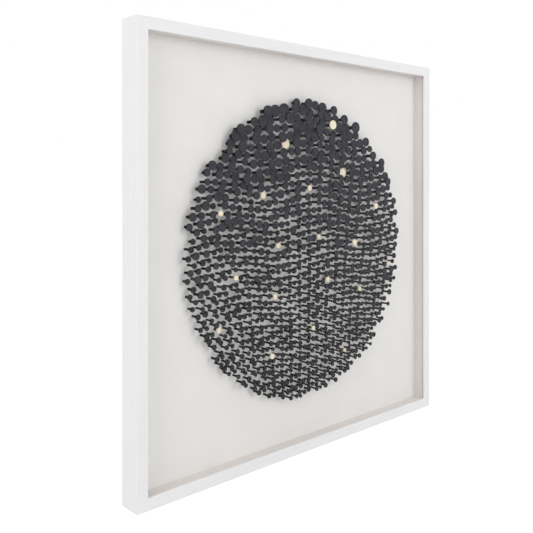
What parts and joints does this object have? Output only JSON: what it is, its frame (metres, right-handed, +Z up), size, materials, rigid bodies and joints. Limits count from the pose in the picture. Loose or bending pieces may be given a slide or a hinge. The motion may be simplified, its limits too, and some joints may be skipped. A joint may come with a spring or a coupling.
{
  "type": "framed quilled paper art",
  "caption": "Square white shadow box with a glazed front, holding a round field of black rolled paper pins with a few cream heads on a pale board.",
  "frame": {"origin": "middle of the box's depth and width at its bottom edge", "axes": "+Z up the wall, +Y into the wall, the picture faces -Y, +X to the viewer's right"},
  "size_m": [0.8, 0.047, 0.8],
  "materials": {
    "frame": "satin white paint with a faint grain",
    "spacer": "matt white lining",
    "glazing": "clear",
    "board": "matt",
    "backing": "bare hardboard",
    "steel": "plain",
    "zinc": "zinc plated",
    "black_paper": "matt",
    "cream_paper": "matt"
  },
  "bodies": {
    "root": {"backing_panel": "backing", "black_pins_band_1": "black_paper", "black_pins_band_2": "black_paper", "black_pins_band_3": "black_paper", "black_pins_band_4": "black_paper", "black_pins_band_5": "black_paper", "black_pins_band_6": "black_paper", "black_pins_band_7": "black_paper", "black_pins_band_8": "black_paper", "corner_nails": "steel", "cream_pin_heads": "cream_paper", "cream_pin_stems": "black_paper", "frame_rail_bottom": "frame", "frame_rail_left": "frame", "frame_rail_right": "frame", "frame_rail_top": "frame", "glazing_pane": "glazing", "glazing_points": "steel", "hanger_plate_left": "zinc", "hanger_plate_right": "zinc", "hanger_screws": "zinc", "mount_board": "board", "spacer_bottom": "spacer", "spacer_left": "spacer", "spacer_right": "spacer", "spacer_top": "spacer"}
  },
  "joints": []
}
